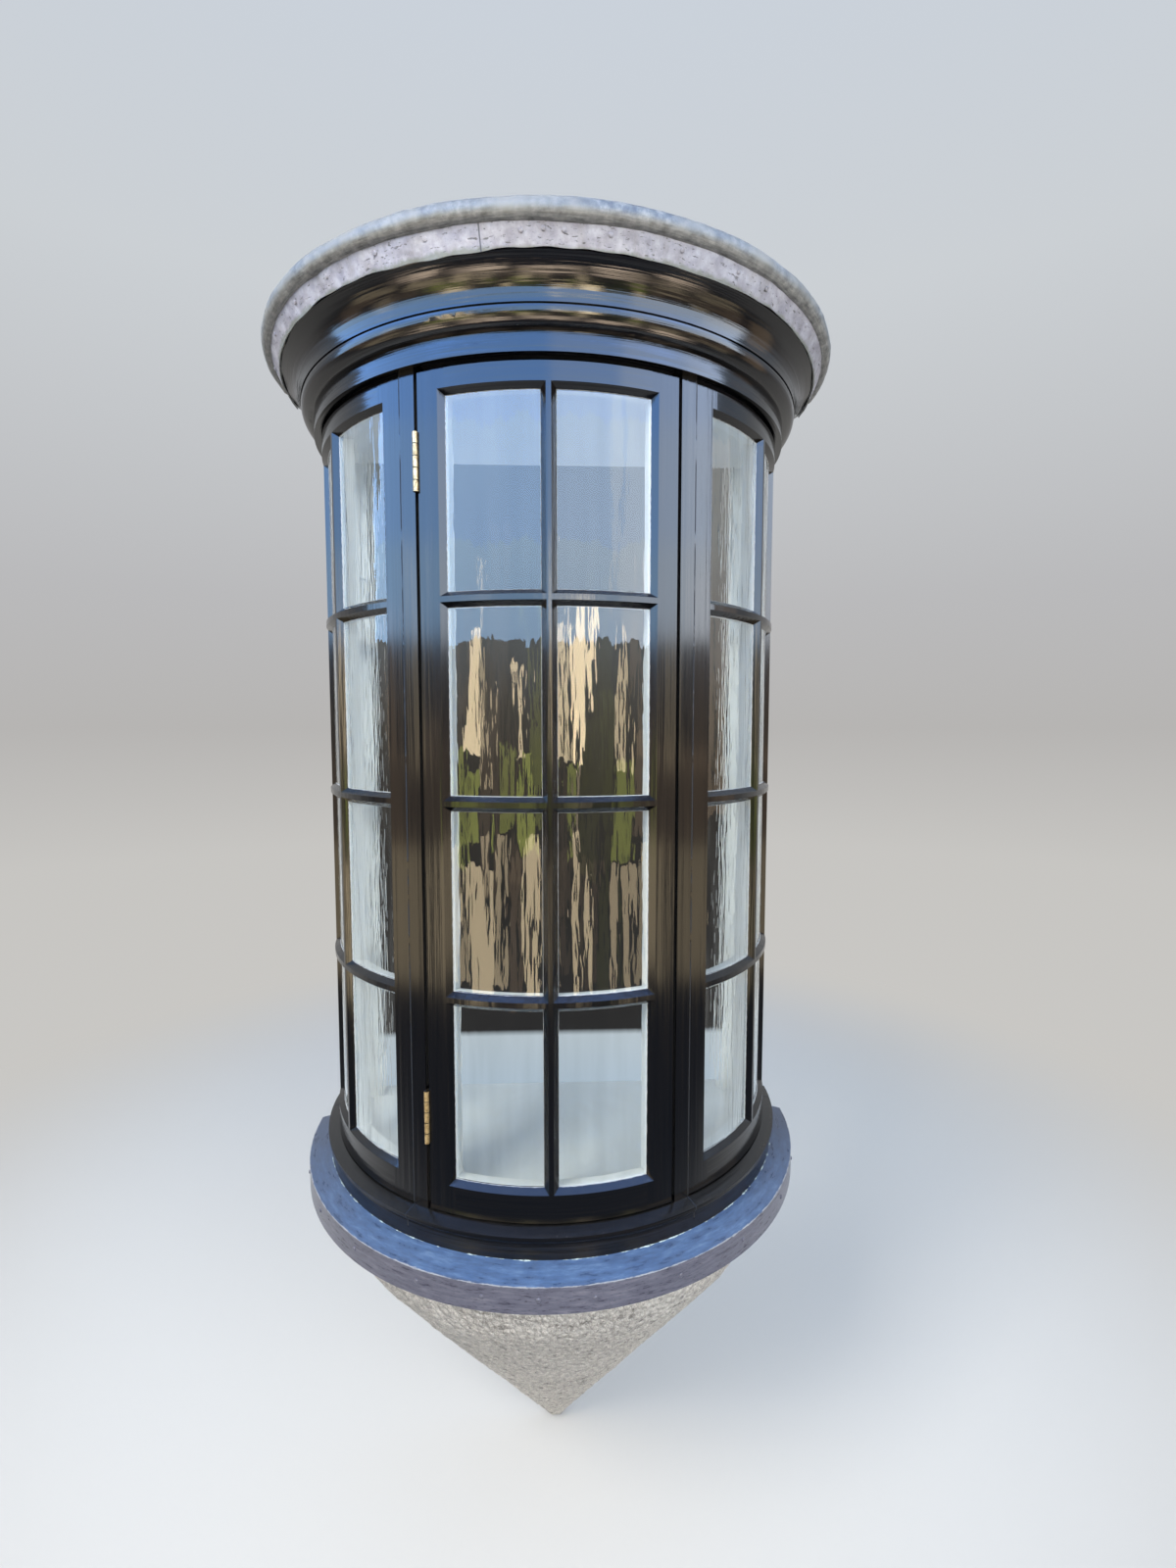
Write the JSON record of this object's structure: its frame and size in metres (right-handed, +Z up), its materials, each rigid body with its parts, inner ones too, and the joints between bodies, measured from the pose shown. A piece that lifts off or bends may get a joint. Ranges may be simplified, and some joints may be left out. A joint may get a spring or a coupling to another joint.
{
  "type": "half-round bay window on a corbel",
  "caption": "half-round projecting window with curved glazed lights, an opening middle casement, moulded cornice, lead roof and conical corbel, to fix on a wall face",
  "frame": {"origin": "on the wall face, on the centre line, at the level where the corbel's cone meets its drum", "axes": "+Z up, -Y out of the wall towards the viewer, +X to the viewer's right; the wall face is the plane Y = 0"},
  "size_m": [1.217, 0.6083, 2.527],
  "materials": {
    "corbel_render": "rough",
    "sill_stone": "rough",
    "sill_lead": "satin",
    "black_paint": "gloss",
    "white_paint": "satin",
    "bare_timber": "rough",
    "glass": "gloss",
    "brass": "satin",
    "roof_lead": "satin"
  },
  "bodies": {
    "root": {"corbel": "corbel_render", "projecting_sill": "sill_stone", "sill_lead": "sill_lead", "frame_sill": "black_paint", "window_board": "white_paint", "mullion_left": "black_paint", "mullion_right": "black_paint", "wall_post_left": "black_paint", "wall_post_right": "black_paint", "frame_head": "black_paint", "casement_hinge_stile": "black_paint", "casement_lock_stile": "black_paint", "casement_top_rail": "black_paint", "casement_bottom_rail": "black_paint", "casement_bars": "black_paint", "casement_glass": "glass", "hinge_upper": "brass", "hinge_lower": "brass", "casement_fastener": "brass", "casement_stay": "brass", "stay_pegs": "brass", "left_light_stiles": "black_paint", "left_light_top_rail": "black_paint", "left_light_bottom_rail": "black_paint", "left_light_bars": "black_paint", "left_light_glass": "glass", "right_light_stiles": "black_paint", "right_light_top_rail": "black_paint", "right_light_bottom_rail": "black_paint", "right_light_bars": "black_paint", "right_light_glass": "glass", "frieze": "black_paint", "bed_moulding": "black_paint", "crown_moulding": "black_paint", "ceiling_board": "white_paint", "roof_deck": "bare_timber", "lead_apron": "roof_lead", "lead_roof": "roof_lead"}
  },
  "joints": []
}
